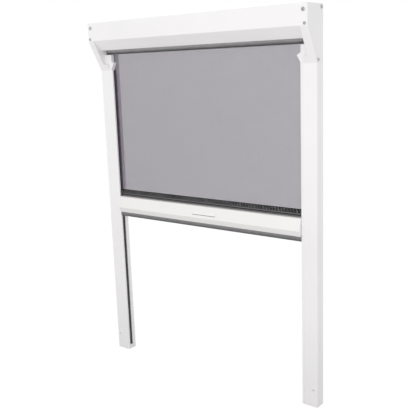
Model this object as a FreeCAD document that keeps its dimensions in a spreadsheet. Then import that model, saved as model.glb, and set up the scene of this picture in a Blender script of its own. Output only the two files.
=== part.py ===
"""Retractable insect screen for a window: sprung roller cassette, guide rails and pull bar.

Units are millimetres. X runs to the right along the cassette, Y runs to the back, where the
screen is fixed to the window, and Z runs up from the feet of the rails. The origin is on the
ground under the middle of the cassette.
"""
import FreeCAD, Part
import math
import os
import re

import Sketcher

# Driving sizes

SIZES = {
    # The whole screen
    "overall_width": 500.0,
    "overall_height": 700.0,
    # Cassette: a folded box with a sloped lower front, open in a slot where the net comes out
    "cassette_depth": 51.0,
    "cassette_wall": 1.4,
    "cassette_height": 53.5,
    "slope_run": 18.7,
    "slope_wall_share": 0.414,
    "corner_round": 1.5,
    "exit_brush_setback": 6.0,
    "exit_gap_rear": 2.6,
    "port_block": 8.0,
    "port_setback": 5.6,
    "port_drop": 5.0,
    # End caps
    "cap_plate": 3.0,
    "leg_width": 14.0,
    "leg_front_face": 1.0,
    "leg_height": 39.5,
    "leg_foot_height": 11.5,
    "cap_round": 1.0,
    "skirt_length": 6.5,
    "skirt_wall": 2.4,
    "skirt_corner": 12.0,
    "hub_radius": 8.0,
    "hub_reach": 8.0,
    "hub_rib": 1.6,
    "socket_square": 6.2,
    "socket_depth": 6.5,
    "peg_length": 12.0,
    # Screws in the cassette and the end caps
    "screw_radius": 1.5,
    "screw_hole": 1.8,
    "screw_pilot": 1.55,
    "screw_head": 3.4,
    "screw_head_top": 2.3,
    "screw_head_height": 1.5,
    "screw_length": 12.0,
    "face_screw_inset": 7.7,
    "face_screw_drop": 10.0,
    "low_screw_inset": 5.3,
    "low_screw_rise": 3.3,
    "low_screw_head": 2.6,
    "low_screw_top": 1.8,
    "leg_screw_length": 20.0,
    "leg_screw_rise": 5.0,
    "leg_screw_setback": 4.5,
    # Guide rails
    "rail_width": 31.0,
    "rail_depth": 21.0,
    "rail_wall": 1.4,
    "chamber_width": 12.0,
    "rail_bevel_width": 6.5,
    "rail_bevel_depth": 1.2,
    "rail_round": 1.5,
    "slot_mouth": 8.8,
    "fixing_inset": 7.7,
    "fixing_height": 33.0,
    "fixing_hole": 2.2,
    "fixing_access": 3.2,
    # Pile brushes and the hooked grooves that hold them
    "backing_width": 4.4,
    "backing_thick": 1.1,
    "backing_room": 0.1,
    "hook_reach": 0.8,
    "hook_thick": 0.9,
    "hook_rib": 1.2,
    "pile_width": 2.2,
    "pile_clearance": 0.3,
    "exit_pile_drop": 8.5,
    # Rail feet
    "foot_plate": 2.5,
    "foot_plug": 11.5,
    "foot_stop": 5.5,
    "plug_clearance": 0.2,
    # Inlet guides above the rails
    "guide_room": 0.4,
    "guide_step": 0.5,
    "guide_flare": 6.2,
    "guide_flare_low": 2.0,
    "guide_flare_mid": 13.5,
    "guide_flare_high": 17.5,
    "guide_slot": 1.8,
    "guide_slot_depth": 12.5,
    # Net and its hem
    "net_setback": 8.9,
    "net_thick": 0.5,
    "net_tuck": 12.0,
    "net_rib": 6.0,
    "hem_height": 14.5,
    "hem_thick": 1.0,
    "hem_cord_radius": 2.0,
    # Roller
    "roller_headroom": 9.7,
    "roll_radius": 13.9,
    "peel_gap": 0.35,
    "tube_radius": 12.5,
    "tube_wall": 1.2,
    "tube_end_gap": 14.0,
    "fit_gap": 0.05,
    "plug_depth": 16.0,
    "plug_flange": 1.5,
    "pin_radius": 3.0,
    "pin_square": 6.0,
    "pin_fit": 0.06,
    "boss_radius": 4.3,
    "boss_length": 8.0,
    "shaft_collar": 4.1,
    "shaft_collar_length": 8.0,
    "spring_wire": 0.7,
    "spring_radius": 5.3,
    "spring_pitch": 8.0,
    "spring_turns": 11.0,
    "spring_flats": 8.0,
    # Pull bar
    "bar_top": 345.5,
    "bar_height": 33.0,
    "bar_front_gap": 0.5,
    "bar_depth": 17.5,
    "bar_wall": 1.3,
    "nose_drop": 22.0,
    "nose_reach": 7.0,
    "bar_end_width": 8.0,
    "bar_end_round": 2.5,
    "bar_side_gap": 0.5,
    "hem_slot": 1.6,
    "hem_slot_depth": 4.0,
    "cord_room": 5.0,
    "bar_brush_drop": 9.0,
    "fin_thick": 1.0,
    "glider_height": 26.0,
    "glider_drop": 1.0,
    "glider_width": 7.6,
    "glider_clearance": 0.5,
    # Grip: a lip above the bar's nose, whose tongue sits in a slot behind it
    "grip_length": 56.0,
    "grip_offset": 9.0,
    "grip_rise": 6.8,
    "grip_height": 3.0,
    "grip_reach": 2.2,
    "grip_tongue": 0.9,
    "grip_tongue_length": 50.0,
}

# The drawn net's mesh is far too fine to build, so a plain grid of openings stands for it

NET_COLUMNS = 8
NET_ROWS = 5

# Places worked out from the sizes, as expressions

HALF = "(overall_width / 2)"
TOP = "overall_height"
BACK = "(cassette_depth / 2)"
FRONT = f"(-{BACK})"
INNER_WALL = f"({HALF} - cap_plate)"
LEG_INNER = f"({HALF} - leg_width)"
UNDER = f"({TOP} - cassette_height)"
SLOPE_EDGE = f"({FRONT} + slope_run)"
FRONT_FOOT = f"({UNDER} + slope_run)"
LEG_CORNER = f"({FRONT_FOOT} - leg_front_face)"
RAIL_TOP = f"({UNDER} - leg_height)"
GUIDE_TOP = f"({UNDER} - exit_pile_drop - guide_room)"
RAIL_FRONT = f"({BACK} - rail_depth)"
RAIL_INNER = f"({HALF} - rail_width)"
NET = f"({RAIL_FRONT} + net_setback)"
NET_EDGE = f"({RAIL_INNER} + net_tuck)"
CHANNEL_OUTER = f"({HALF} - 2 * rail_wall - chamber_width)"
CHANNEL_INNER = f"({RAIL_INNER} + rail_wall)"
CHANNEL_HALF = "(net_setback - rail_wall)"
GROOVE_DEPTH = "(backing_thick + 2 * backing_room)"
GROOVE_WIDTH = "(backing_width + 2 * backing_room)"
HOOK_UNDER = f"({CHANNEL_HALF} - {GROOVE_DEPTH})"
HOOK_OVER = f"({HOOK_UNDER} - hook_thick)"
RIB_INNER = f"({CHANNEL_INNER} + {GROOVE_WIDTH})"
PILE_TIP = "(fin_thick / 2 + pile_clearance)"
AXIS_Y = f"({NET} - net_thick / 2 - peel_gap - roll_radius)"
AXIS_Z = f"({TOP} - cassette_wall - roller_headroom - roll_radius)"
TUBE_END = f"({HALF} - tube_end_gap)"
FOOT_TOP = "(foot_plate + foot_stop)"
FACE_SCREW_X = f"({HALF} - face_screw_inset)"
FACE_SCREW_Z = f"({TOP} - face_screw_drop)"
PORT_Y = f"({BACK} - port_setback)"
PORT_Z = f"({TOP} - port_drop)"
EXIT_GROOVE = f"({NET} - exit_brush_setback)"
LEG_SCREW_Y = f"({RAIL_FRONT} + leg_screw_setback)"
LEG_SCREW_Z = f"({RAIL_TOP} + leg_screw_rise)"
LOW_SCREW_X = f"({HALF} - low_screw_inset)"
LOW_SCREW_Z = f"({FRONT_FOOT} + low_screw_rise)"
BAR_BOTTOM = "(bar_top - bar_height)"
BAR_FRONT = f"({RAIL_FRONT} - bar_front_gap)"
BAR_BACK = f"({BAR_FRONT} + bar_depth)"
BAR_OUTER = f"({RAIL_INNER} - bar_side_gap)"
BAR_CUT = f"({BAR_OUTER} - bar_end_width)"
NOSE_Y = f"({BAR_FRONT} - nose_reach)"
NOSE_Z = "(bar_top - nose_drop)"
GRIP_FOOT = f"({NOSE_Z} + grip_rise)"
BAR_GROOVE = f"({NET} - cord_room / 2 - bar_wall - {GROOVE_WIDTH} / 2)"
HEM_TOP = "(bar_top + hem_height)"

PLANES = {"side": "YZ_Plane", "front": "XZ_Plane", "top": "XY_Plane"}

doc = FreeCAD.newDocument("InsectScreen")
sheet = doc.addObject("Spreadsheet::Sheet", "Sizes")
for row, (alias, number) in enumerate(SIZES.items(), start=1):
    sheet.set(f"A{row}", alias)
    sheet.set(f"B{row}", str(number))
    sheet.setAlias(f"B{row}", alias)
doc.recompute()


# Helpers that bind geometry to the sheet

def sized(text):
    """The expression with every size name turned into a reference to the sheet."""
    def cell(word):
        name = word.group()
        return f"Sizes.{name}" if name in SIZES else name
    return re.sub(r"[a-z_]+", cell, str(text))


def value(text):
    """The number that an expression gives now."""
    return float(sheet.evalExpression(sized(text)))


def bind(thing, **properties):
    """Bind properties of an object to expressions."""
    for name, text in properties.items():
        thing.setExpression(name, sized(text))


def minus(text):
    return f"-({text})"


def new_body(label):
    """An empty body that becomes one node."""
    piece = doc.addObject("PartDesign::Body", label)
    piece.Label = label
    return piece


def sketch_on(piece, view, start="0"):
    """A sketch seen from the side, the front or the top, at a place along that view's axis."""
    sketch = piece.newObject("Sketcher::SketchObject", f"{piece.Name}_{view}")
    plane = next(item for item in piece.Origin.OriginFeatures if item.Role == PLANES[view])
    sketch.AttachmentSupport = [(plane, "")]
    sketch.MapMode = "FlatFace"
    offset = minus(start) if view == "front" else start
    sketch.setExpression("AttachmentOffset.Base.z", sized(offset))
    return sketch


def pin_point(sketch, geometry, corner, place):
    """Hold one point of a sketch at a place given by two expressions."""
    for kind, text in zip(("DistanceX", "DistanceY"), place):
        rule = Sketcher.Constraint(kind, -1, 1, geometry, corner, value(text))
        index = sketch.addConstraint(rule)
        sketch.setExpression(f"Constraints[{index}]", sized(text))


def outline(sketch, points):
    """A closed outline with straight sides through points given by expressions."""
    first = sketch.GeometryCount
    count = len(points)
    corners = [FreeCAD.Vector(value(across), value(up), 0) for across, up in points]
    for number in range(count):
        side = Part.LineSegment(corners[number], corners[(number + 1) % count])
        sketch.addGeometry(side, False)
    for number in range(count):
        following = first + (number + 1) % count
        sketch.addConstraint(Sketcher.Constraint("Coincident", first + number, 2, following, 1))
    for number, place in enumerate(points):
        pin_point(sketch, first + number, 1, place)


def rectangle(sketch, low, high):
    """A rectangle between two opposite corners."""
    outline(sketch, [low, (high[0], low[1]), high, (low[0], high[1])])


def circle(sketch, centre, radius):
    """A circle whose centre and radius follow expressions."""
    middle = FreeCAD.Vector(value(centre[0]), value(centre[1]), 0)
    normal = FreeCAD.Vector(0, 0, 1)
    number = sketch.addGeometry(Part.Circle(middle, normal, value(radius)), False)
    pin_point(sketch, number, 3, centre)
    index = sketch.addConstraint(Sketcher.Constraint("Radius", number, value(radius)))
    sketch.setExpression(f"Constraints[{index}]", sized(radius))


def faces_front(sketch):
    """Whether a sketch lies in the front view, whose plane looks the other way."""
    return sketch.AttachmentSupport[0][0].Role == PLANES["front"]


def extrude(kind, sketch, length, backwards):
    """A pad or a pocket on a sketch, of a length given by an expression."""
    piece = sketch.getParentGeoFeatureGroup()
    feature = piece.newObject(kind, f"{sketch.Name}_{kind[12:]}")
    feature.Profile = sketch
    feature.Reversed = backwards
    bind(feature, Length=length)
    return feature


def pad(sketch, length):
    """Material that grows from the sketch to the right, to the back or up."""
    return extrude("PartDesign::Pad", sketch, length, faces_front(sketch))


def cut(sketch, length):
    """A cut that runs from the sketch to the right, to the back or down to up."""
    piece = sketch.getParentGeoFeatureGroup()
    doc.recompute()
    before = piece.Shape.Volume
    feature = extrude("PartDesign::Pocket", sketch, length, not faces_front(sketch))
    doc.recompute()
    if not piece.Shape.Volume < before:
        raise RuntimeError(f"{feature.Name} cuts nothing")
    return feature


def round_edges(piece, radius, *spots):
    """Round the edges that pass through the given spots."""
    doc.recompute()
    edges = piece.Shape.Edges
    names = []
    for spot in spots:
        point = Part.Vertex(*[value(text) for text in spot])
        nearest = min(range(len(edges)), key=lambda number: edges[number].distToShape(point)[0])
        names.append(f"Edge{nearest + 1}")
    feature = piece.newObject("PartDesign::Fillet", f"{piece.Name}_rounds")
    feature.Base = (piece.Tip if piece.Tip != feature else feature.BaseFeature, sorted(set(names)))
    bind(feature, Radius=radius)
    return feature


def mirror_to_left(piece, label):
    """The left-hand twin of a right-hand piece."""
    twin = doc.addObject("Part::Mirroring", label)
    twin.Label = label
    twin.Source = piece
    twin.Normal = (1, 0, 0)
    twin.Base = (0, 0, 0)
    return twin


def turned(label, steps, side=1):
    """A piece turned about the roller's axis, from (near, far, radius) steps along it."""
    piece = new_body(label)
    for near, far, radius in steps:
        start = near if side > 0 else minus(far)
        sketch = sketch_on(piece, "side", start)
        circle(sketch, (AXIS_Y, AXIS_Z), radius)
        pad(sketch, f"({far}) - ({near})")
    return piece


def bore(piece, near, far, radius, side=1):
    """A round hole on the roller's axis."""
    sketch = sketch_on(piece, "side", near if side > 0 else minus(far))
    circle(sketch, (AXIS_Y, AXIS_Z), radius)
    cut(sketch, f"({far}) - ({near})")


def square_end(piece, near, far, width, side=1):
    """A square on the roller's axis, which keeps a pin from turning."""
    sketch = sketch_on(piece, "side", near if side > 0 else minus(far))
    low = (f"{AXIS_Y} - {width} / 2", f"{AXIS_Z} - {width} / 2")
    high = (f"{AXIS_Y} + {width} / 2", f"{AXIS_Z} + {width} / 2")
    rectangle(sketch, low, high)
    return sketch, f"({far}) - ({near})"


# Brushes that hang from a groove in a face that looks down

def hanging_groove(middle, face):
    """The groove's outline, from the front edge of its mouth to the rear edge."""
    lip = f"{face} + hook_thick"
    roof = f"{lip} + {GROOVE_DEPTH}"
    half = f"{GROOVE_WIDTH} / 2"
    mouth = f"({half} - hook_reach)"
    return [
        (f"{middle} - {mouth}", face),
        (f"{middle} - {mouth}", lip),
        (f"{middle} - {half}", lip),
        (f"{middle} - {half}", roof),
        (f"{middle} + {half}", roof),
        (f"{middle} + {half}", lip),
        (f"{middle} + {mouth}", lip),
        (f"{middle} + {mouth}", face),
    ]


def hanging_brush(label, middle, face, drop, sweep, half_length):
    """Backing strip in the groove with its pile, whose tip may be swept to the back."""
    roof = f"{face} + hook_thick + {GROOVE_DEPTH} - backing_room"
    shoulder = f"{roof} - backing_thick"
    piece = new_body(label)
    sketch = sketch_on(piece, "side", minus(half_length))
    points = [
        (f"{middle} - backing_width / 2", roof),
        (f"{middle} - backing_width / 2", shoulder),
        (f"{middle} - pile_width / 2", shoulder),
        (f"{middle} - pile_width / 2", face),
        (f"{middle} - pile_width / 2 + {sweep}", f"{face} - {drop}"),
        (f"{middle} + pile_width / 2 + {sweep}", f"{face} - {drop}"),
        (f"{middle} + pile_width / 2", face),
        (f"{middle} + pile_width / 2", shoulder),
        (f"{middle} + backing_width / 2", shoulder),
        (f"{middle} + backing_width / 2", roof),
    ]
    outline(sketch, points)
    pad(sketch, f"2 * ({half_length})")
    return piece


# Cassette

def cassette_housing():
    """One open extrusion: top, front, slope, underside with the brush's groove, and the back."""
    wall = "cassette_wall"
    groove_roof = f"({UNDER} + hook_thick + {GROOVE_DEPTH} + {wall})"
    groove_front = f"({EXIT_GROOVE} - {GROOVE_WIDTH} / 2 - {wall})"
    groove_rear = f"({EXIT_GROOVE} + {GROOVE_WIDTH} / 2 + {wall})"
    piece = new_body("cassette_housing")
    sketch = sketch_on(piece, "side", minus(INNER_WALL))
    outer = [
        (BACK, TOP),
        (FRONT, TOP),
        (FRONT, FRONT_FOOT),
        (SLOPE_EDGE, UNDER),
    ]
    inner = [
        (groove_rear, UNDER),
        (groove_rear, groove_roof),
        (groove_front, groove_roof),
        (groove_front, f"{UNDER} + {wall}"),
        (f"{SLOPE_EDGE} + slope_wall_share * {wall}", f"{UNDER} + {wall}"),
        (f"{FRONT} + {wall}", f"{FRONT_FOOT} + slope_wall_share * {wall}"),
        (f"{FRONT} + {wall}", f"{TOP} - {wall}"),
        (f"{BACK} - {wall} - port_block", f"{TOP} - {wall}"),
        (f"{BACK} - {wall} - port_block", f"{TOP} - {wall} - port_block"),
        (f"{BACK} - {wall}", f"{TOP} - {wall} - port_block"),
        (f"{BACK} - {wall}", f"{UNDER} + {wall}"),
        (f"{NET} + exit_gap_rear", f"{UNDER} + {wall}"),
        (f"{NET} + exit_gap_rear", UNDER),
        (BACK, UNDER),
    ]
    outline(sketch, outer + hanging_groove(EXIT_GROOVE, UNDER) + inner)
    circle(sketch, (PORT_Y, PORT_Z), "screw_pilot")
    pad(sketch, f"2 * {INNER_WALL}")
    holes = sketch_on(piece, "front", FRONT)
    circle(holes, (FACE_SCREW_X, FACE_SCREW_Z), "screw_hole")
    circle(holes, (minus(FACE_SCREW_X), FACE_SCREW_Z), "screw_hole")
    circle(holes, (LOW_SCREW_X, LOW_SCREW_Z), "screw_hole")
    circle(holes, (minus(LOW_SCREW_X), LOW_SCREW_Z), "screw_hole")
    cut(holes, wall)
    spots = [("0", FRONT, TOP), ("0", BACK, TOP), ("0", FRONT, FRONT_FOOT), ("0", SLOPE_EDGE, UNDER)]
    round_edges(piece, "corner_round", *spots)
    return piece


def exit_brush():
    """Pile strip under the cassette, its pile swept back onto the net."""
    sweep = "(exit_brush_setback - pile_width / 2 - net_thick / 2 - pile_clearance)"
    half_length = f"({LEG_INNER} - pile_clearance)"
    return hanging_brush("exit_brush", EXIT_GROOVE, UNDER, "exit_pile_drop", sweep, half_length)


# End caps, mirror images of each other

def end_cap():
    """Side plate with the leg that stands on the rail, the skirt and the roller's socket."""
    leg_top = f"({UNDER} - plug_clearance)"
    piece = new_body("end_cap_right")

    leg = sketch_on(piece, "side", LEG_INNER)
    leg_points = [
        (FRONT, LEG_CORNER),
        (FRONT, f"{FRONT_FOOT} - plug_clearance"),
        (SLOPE_EDGE, leg_top),
        (BACK, leg_top),
        (BACK, RAIL_TOP),
        (RAIL_FRONT, RAIL_TOP),
    ]
    outline(leg, leg_points)
    pad(leg, "leg_width")

    foot_start = f"({RAIL_INNER} + rail_bevel_width)"
    foot_front = f"leg_foot_height * ({RAIL_FRONT} - {FRONT}) / ({LEG_CORNER} - {RAIL_TOP})"
    foot = sketch_on(piece, "side", foot_start)
    foot_points = [
        (RAIL_FRONT, RAIL_TOP),
        (f"{RAIL_FRONT} - {foot_front}", f"{RAIL_TOP} + leg_foot_height"),
        (RAIL_FRONT, f"{RAIL_TOP} + leg_foot_height"),
    ]
    outline(foot, foot_points)
    pad(foot, f"{LEG_INNER} - {foot_start}")

    plate = sketch_on(piece, "side", INNER_WALL)
    plate_points = [
        (FRONT, TOP),
        (FRONT, LEG_CORNER),
        (RAIL_FRONT, RAIL_TOP),
        (BACK, RAIL_TOP),
        (BACK, TOP),
    ]
    outline(plate, plate_points)
    pad(plate, "cap_plate")

    gap = "(cassette_wall + plug_clearance)"
    skirt = sketch_on(piece, "side", f"{INNER_WALL} - skirt_length")
    skirt_points = [
        (f"{FRONT} + {gap}", f"{TOP} - {gap}"),
        (f"{FRONT} + {gap}", f"{FRONT_FOOT} + {gap}"),
        (f"{FRONT} + {gap} + skirt_wall", f"{FRONT_FOOT} + {gap}"),
        (f"{FRONT} + {gap} + skirt_wall", f"{TOP} - {gap} - skirt_wall"),
        (f"{AXIS_Y} + skirt_corner", f"{TOP} - {gap} - skirt_wall"),
        (f"{AXIS_Y} + skirt_corner", f"{TOP} - {gap}"),
    ]
    outline(skirt, skirt_points)
    rectangle(
        skirt,
        (f"{BACK} - {gap} - skirt_wall", f"{UNDER} + {gap} + cassette_wall"),
        (f"{BACK} - {gap}", f"{TOP} - {gap} - port_block - skirt_wall"),
    )
    pad(skirt, "skirt_length")

    ribs = sketch_on(piece, "side", f"{INNER_WALL} - skirt_length")
    rectangle(
        ribs,
        (f"{FRONT} + {gap} + skirt_wall / 2", f"{AXIS_Z} - hub_rib / 2"),
        (f"{BACK} - {gap} - skirt_wall / 2", f"{AXIS_Z} + hub_rib / 2"),
    )
    pad(ribs, "skirt_length")
    upright = sketch_on(piece, "side", f"{INNER_WALL} - skirt_length")
    rectangle(
        upright,
        (f"{AXIS_Y} - hub_rib / 2", AXIS_Z),
        (f"{AXIS_Y} + hub_rib / 2", f"{TOP} - {gap} - skirt_wall / 2"),
    )
    pad(upright, "skirt_length")

    hub = sketch_on(piece, "side", f"{INNER_WALL} - hub_reach")
    circle(hub, (AXIS_Y, AXIS_Z), "hub_radius")
    pad(hub, "hub_reach")
    mouth = f"{INNER_WALL} - hub_reach"
    cut(*square_end(piece, mouth, f"{mouth} + socket_depth", "socket_square"))

    peg = sketch_on(piece, "top", f"{RAIL_TOP} - peg_length")
    rectangle(
        peg,
        (f"{CHANNEL_OUTER} + rail_wall + plug_clearance", f"{RAIL_FRONT} + rail_wall + plug_clearance"),
        (f"{HALF} - rail_wall - plug_clearance", f"{BACK} - rail_wall - plug_clearance"),
    )
    pad(peg, "peg_length")

    side_holes = sketch_on(piece, "side", LEG_INNER)
    circle(side_holes, (LEG_SCREW_Y, LEG_SCREW_Z), "screw_hole")
    circle(side_holes, (PORT_Y, PORT_Z), "screw_hole")
    cut(side_holes, "leg_width")
    front_holes = sketch_on(piece, "front", FRONT)
    circle(front_holes, (FACE_SCREW_X, FACE_SCREW_Z), "screw_pilot")
    circle(front_holes, (LOW_SCREW_X, LOW_SCREW_Z), "screw_pilot")
    cut(front_holes, "screw_length")

    slope_middle = (HALF, f"({FRONT} + {RAIL_FRONT}) / 2", f"({LEG_CORNER} + {RAIL_TOP}) / 2")
    front_middle = (HALF, FRONT, f"({TOP} + {LEG_CORNER}) / 2")
    round_edges(piece, "cap_round", slope_middle, front_middle, (HALF, "0", TOP))
    return piece


def inlet_guide():
    """Block on the rail's top whose flared mouth leads the net's edge into the slot."""
    inner = f"({RAIL_INNER} + guide_step)"
    slot_end = f"({inner} + guide_slot_depth)"
    piece = new_body("inlet_guide_right")
    sketch = sketch_on(piece, "front", RAIL_FRONT)
    points = [
        (LEG_INNER, RAIL_TOP),
        (LEG_INNER, GUIDE_TOP),
        (inner, GUIDE_TOP),
        (inner, f"{RAIL_TOP} + guide_flare_high"),
        (f"{inner} - guide_flare - guide_step", f"{RAIL_TOP} + guide_flare_mid"),
        (inner, f"{RAIL_TOP} + guide_flare_low"),
        (inner, RAIL_TOP),
    ]
    outline(sketch, points)
    pad(sketch, "rail_depth")
    slot = sketch_on(piece, "top", RAIL_TOP)
    flare_edge = f"{inner} - guide_flare - guide_step"
    rectangle(slot, (flare_edge, f"{NET} - guide_slot / 2"), (slot_end, f"{NET} + guide_slot / 2"))
    cut(slot, f"{GUIDE_TOP} - {RAIL_TOP}")
    behind = sketch_on(piece, "top", RAIL_TOP)
    rectangle(behind, (flare_edge, f"{NET} - guide_slot / 2"), (inner, BACK))
    cut(behind, f"{GUIDE_TOP} - {RAIL_TOP}")
    mouth = sketch_on(piece, "side", inner)
    mouth_points = [
        (f"{NET} - guide_slot", GUIDE_TOP),
        (f"{NET} + guide_slot", GUIDE_TOP),
        (NET, f"{GUIDE_TOP} - 2 * guide_slot"),
    ]
    outline(mouth, mouth_points)
    cut(mouth, "guide_slot_depth")
    pilot = sketch_on(piece, "side", f"{HALF} - leg_screw_length")
    circle(pilot, (LEG_SCREW_Y, LEG_SCREW_Z), "screw_pilot")
    cut(pilot, "leg_screw_length - leg_width")
    side_edge = (inner, RAIL_FRONT, f"{GUIDE_TOP} - cap_round")
    top_edge = (f"{inner} + cap_round", RAIL_FRONT, GUIDE_TOP)
    round_edges(piece, "cap_round", side_edge, top_edge)
    return piece


# Guide rails, mirror images of each other

def rail_outline():
    """The rail's outer line with the channel, its mouth and the grooves for both brushes."""
    def lip(facing):
        """From the mouth's edge round the groove and its rib to the far wall of the channel."""
        def across(distance):
            return f"{NET} + ({facing}) * ({distance})"
        return [
            (RAIL_INNER, across("slot_mouth / 2")),
            (f"{CHANNEL_INNER} + hook_reach", across("slot_mouth / 2")),
            (f"{CHANNEL_INNER} + hook_reach", across(HOOK_UNDER)),
            (CHANNEL_INNER, across(HOOK_UNDER)),
            (CHANNEL_INNER, across(CHANNEL_HALF)),
            (RIB_INNER, across(CHANNEL_HALF)),
            (RIB_INNER, across(HOOK_UNDER)),
            (f"{RIB_INNER} - hook_reach", across(HOOK_UNDER)),
            (f"{RIB_INNER} - hook_reach", across(HOOK_OVER)),
            (f"{RIB_INNER} + hook_rib", across(HOOK_OVER)),
            (f"{RIB_INNER} + hook_rib", across(CHANNEL_HALF)),
            (CHANNEL_OUTER, across(CHANNEL_HALF)),
        ]
    front = [
        (HALF, BACK),
        (HALF, RAIL_FRONT),
        (f"{RAIL_INNER} + rail_bevel_width", RAIL_FRONT),
        (RAIL_INNER, f"{RAIL_FRONT} + rail_bevel_depth"),
    ]
    return front + lip(-1) + lip(1)[::-1] + [(RAIL_INNER, BACK)]


def guide_rail():
    """Extrusion with a hollow outer chamber, a slotted channel and a thin rear hollow."""
    piece = new_body("guide_rail_right")
    sketch = sketch_on(piece, "top", "foot_plate")
    outline(sketch, rail_outline())
    rectangle(
        sketch,
        (f"{CHANNEL_OUTER} + rail_wall", f"{RAIL_FRONT} + rail_wall"),
        (f"{HALF} - rail_wall", f"{BACK} - rail_wall"),
    )
    rectangle(
        sketch,
        (CHANNEL_INNER, f"{NET} + {CHANNEL_HALF} + rail_wall"),
        (CHANNEL_OUTER, f"{BACK} - rail_wall"),
    )
    pad(sketch, f"{RAIL_TOP} - foot_plate")
    fixing = (f"{HALF} - fixing_inset", "fixing_height")
    access = sketch_on(piece, "front", RAIL_FRONT)
    circle(access, fixing, "fixing_access")
    cut(access, "rail_wall")
    hole = sketch_on(piece, "front", f"{BACK} - rail_wall")
    circle(hole, fixing, "fixing_hole")
    cut(hole, "rail_wall")
    round_edges(piece, "rail_round", (HALF, RAIL_FRONT, f"{RAIL_TOP} / 2"))
    return piece


def rail_brush(label, facing):
    """Pile strip in the groove in front of the net or behind it."""
    def across(distance):
        return f"{NET} + ({facing}) * ({distance})"
    back = f"{CHANNEL_HALF} - backing_room"
    face = f"{CHANNEL_HALF} - backing_room - backing_thick"
    near = f"({CHANNEL_INNER} + backing_room)"
    far = f"({near} + backing_width)"
    middle = f"({near} + backing_width / 2)"
    piece = new_body(label)
    sketch = sketch_on(piece, "top", f"{FOOT_TOP} + pile_clearance")
    points = [
        (near, across(back)),
        (far, across(back)),
        (far, across(face)),
        (f"{middle} + pile_width / 2", across(face)),
        (f"{middle} + pile_width / 2", across(PILE_TIP)),
        (f"{middle} - pile_width / 2", across(PILE_TIP)),
        (f"{middle} - pile_width / 2", across(face)),
        (near, across(face)),
    ]
    outline(sketch, points)
    pad(sketch, f"{RAIL_TOP} - {FOOT_TOP} - pile_clearance")
    return piece


def rail_foot():
    """Plate under the rail, a plug in its chamber and a block that closes the slot."""
    room = "plug_clearance"
    rib_edge = f"({RIB_INNER} + hook_rib + {room})"
    piece = new_body("rail_foot_right")
    plate = sketch_on(piece, "top")
    plate_points = [
        (HALF, BACK),
        (HALF, RAIL_FRONT),
        (f"{RAIL_INNER} + rail_bevel_width", RAIL_FRONT),
        (RAIL_INNER, f"{RAIL_FRONT} + rail_bevel_depth"),
        (RAIL_INNER, BACK),
    ]
    outline(plate, plate_points)
    pad(plate, "foot_plate")
    plug = sketch_on(piece, "top", "foot_plate")
    rectangle(
        plug,
        (f"{CHANNEL_OUTER} + rail_wall + {room}", f"{RAIL_FRONT} + rail_wall + {room}"),
        (f"{HALF} - rail_wall - {room}", f"{BACK} - rail_wall - {room}"),
    )
    pad(plug, "foot_plug")
    stop = sketch_on(piece, "top", "foot_plate")
    deep = f"({CHANNEL_HALF} - {room})"
    mouth = f"(slot_mouth / 2 - {room})"
    stop_points = [
        (f"{CHANNEL_OUTER} - {room}", f"{NET} - {deep}"),
        (rib_edge, f"{NET} - {deep}"),
        (rib_edge, f"{NET} - {mouth}"),
        (RAIL_INNER, f"{NET} - {mouth}"),
        (RAIL_INNER, f"{NET} + {mouth}"),
        (rib_edge, f"{NET} + {mouth}"),
        (rib_edge, f"{NET} + {deep}"),
        (f"{CHANNEL_OUTER} - {room}", f"{NET} + {deep}"),
    ]
    outline(stop, stop_points)
    pad(stop, "foot_stop")
    round_edges(piece, "rail_round", (HALF, RAIL_FRONT, "foot_plate / 2"))
    return piece


# Roller and its spring

def ring(label, half_length, outer, inner):
    """A straight tube on the roller's axis."""
    piece = new_body(label)
    sketch = sketch_on(piece, "side", minus(half_length))
    circle(sketch, (AXIS_Y, AXIS_Z), outer)
    circle(sketch, (AXIS_Y, AXIS_Z), inner)
    pad(sketch, f"2 * ({half_length})")
    return piece


def roller_plug(label, side, boss):
    """Bearing plug in one end of the tube, which turns on its pin."""
    steps = [
        (f"{TUBE_END} - plug_depth", TUBE_END, "tube_radius - tube_wall - fit_gap"),
        (TUBE_END, f"{TUBE_END} + plug_flange", "tube_radius"),
    ]
    if boss:
        near = f"{TUBE_END} - plug_depth - boss_length"
        steps.append((near, f"{TUBE_END} - plug_depth", "boss_radius"))
    piece = turned(label, steps, side)
    near = f"{TUBE_END} - plug_depth - boss_length"
    bore(piece, near, f"{TUBE_END} + plug_flange", "pin_radius + pin_fit", side)
    return piece


def fixed_pin(label, side, reach):
    """Pin with a square end that sits in the end cap's socket and doesn't turn."""
    mouth = f"({INNER_WALL} - hub_reach)"
    piece = turned(label, [(f"{INNER_WALL} - {reach}", mouth, "pin_radius")], side)
    head = square_end(piece, mouth, f"{mouth} + socket_depth - fit_gap", "pin_square", side)
    pad(*head)
    return piece


def spring_shaft():
    """Long fixed pin that carries the spring, with a collar at its far end."""
    spring_end = f"({TUBE_END} - plug_depth - spring_pitch * spring_turns)"
    piece = fixed_pin("spring_shaft", -1, f"({INNER_WALL} - {spring_end})")
    collar = sketch_on(piece, "side", minus(f"{spring_end} + shaft_collar_length"))
    circle(collar, (AXIS_Y, AXIS_Z), "shaft_collar")
    pad(collar, "shaft_collar_length")
    return piece


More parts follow.
